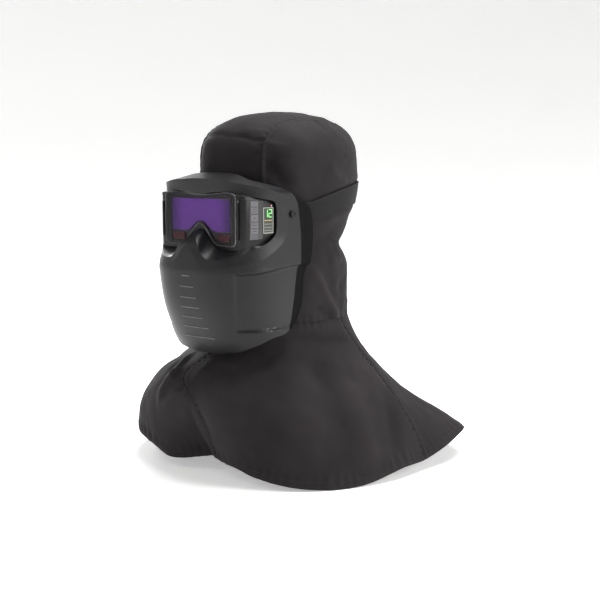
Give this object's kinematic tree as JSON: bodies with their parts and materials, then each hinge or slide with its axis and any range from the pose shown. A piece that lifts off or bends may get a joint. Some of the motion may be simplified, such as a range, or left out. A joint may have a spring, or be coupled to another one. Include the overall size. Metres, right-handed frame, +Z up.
{
  "type": "welding mask with goggle and hood",
  "caption": "Hard welding mask with an auto-darkening goggle, strapped over a cloth hood that ends in a shoulder cape.",
  "frame": {"origin": "inside the top of the hood, where it sits on the crown of the head", "axes": "+Z up, -Y the way the face looks, +X towards the wearer's left"},
  "size_m": [0.4288, 0.4019, 0.4702],
  "materials": {
    "hood_cloth": "matte charcoal flame-retardant cotton with a soft nap",
    "shell_plastic": "dark grey moulded nylon, satin, fine mould texture",
    "housing_plastic": "near-black moulded plastic, satin",
    "soft_black": "matte black elastomer",
    "strap_webbing": "woven black webbing",
    "clear_lens": "clear polycarbonate cover",
    "filter_glass": "purple auto-darkening filter",
    "solar_cell": "dark red solar cell behind a clear film",
    "key_grey": "grey moulded keys, matte",
    "display": "dark display window with green digits",
    "lamp": "pinkish status lamp"
  },
  "bodies": {
    "root": {"hood_centre_panel": "hood_cloth", "hood_side_panel_left": "hood_cloth", "hood_side_panel_right": "hood_cloth", "cape_front_left": "hood_cloth", "cape_front_right": "hood_cloth", "cape_back": "hood_cloth", "mask_shell": "shell_plastic", "goggle_frame": "housing_plastic", "cover_lens": "clear_lens", "filter_glass": "filter_glass", "filter_cartridge": "housing_plastic", "solar_cell_left": "solar_cell", "solar_cell_right": "solar_cell", "control_panel": "housing_plastic", "key_1": "key_grey", "key_2": "key_grey", "key_3": "key_grey", "key_4": "key_grey", "key_5": "key_grey", "display": "display", "status_light": "lamp", "light_sensor": "display", "temple_fastener_left": "soft_black", "temple_fastener_right": "soft_black", "side_flap_left": "soft_black", "side_flap_right": "soft_black", "head_strap": "strap_webbing"}
  },
  "joints": []
}
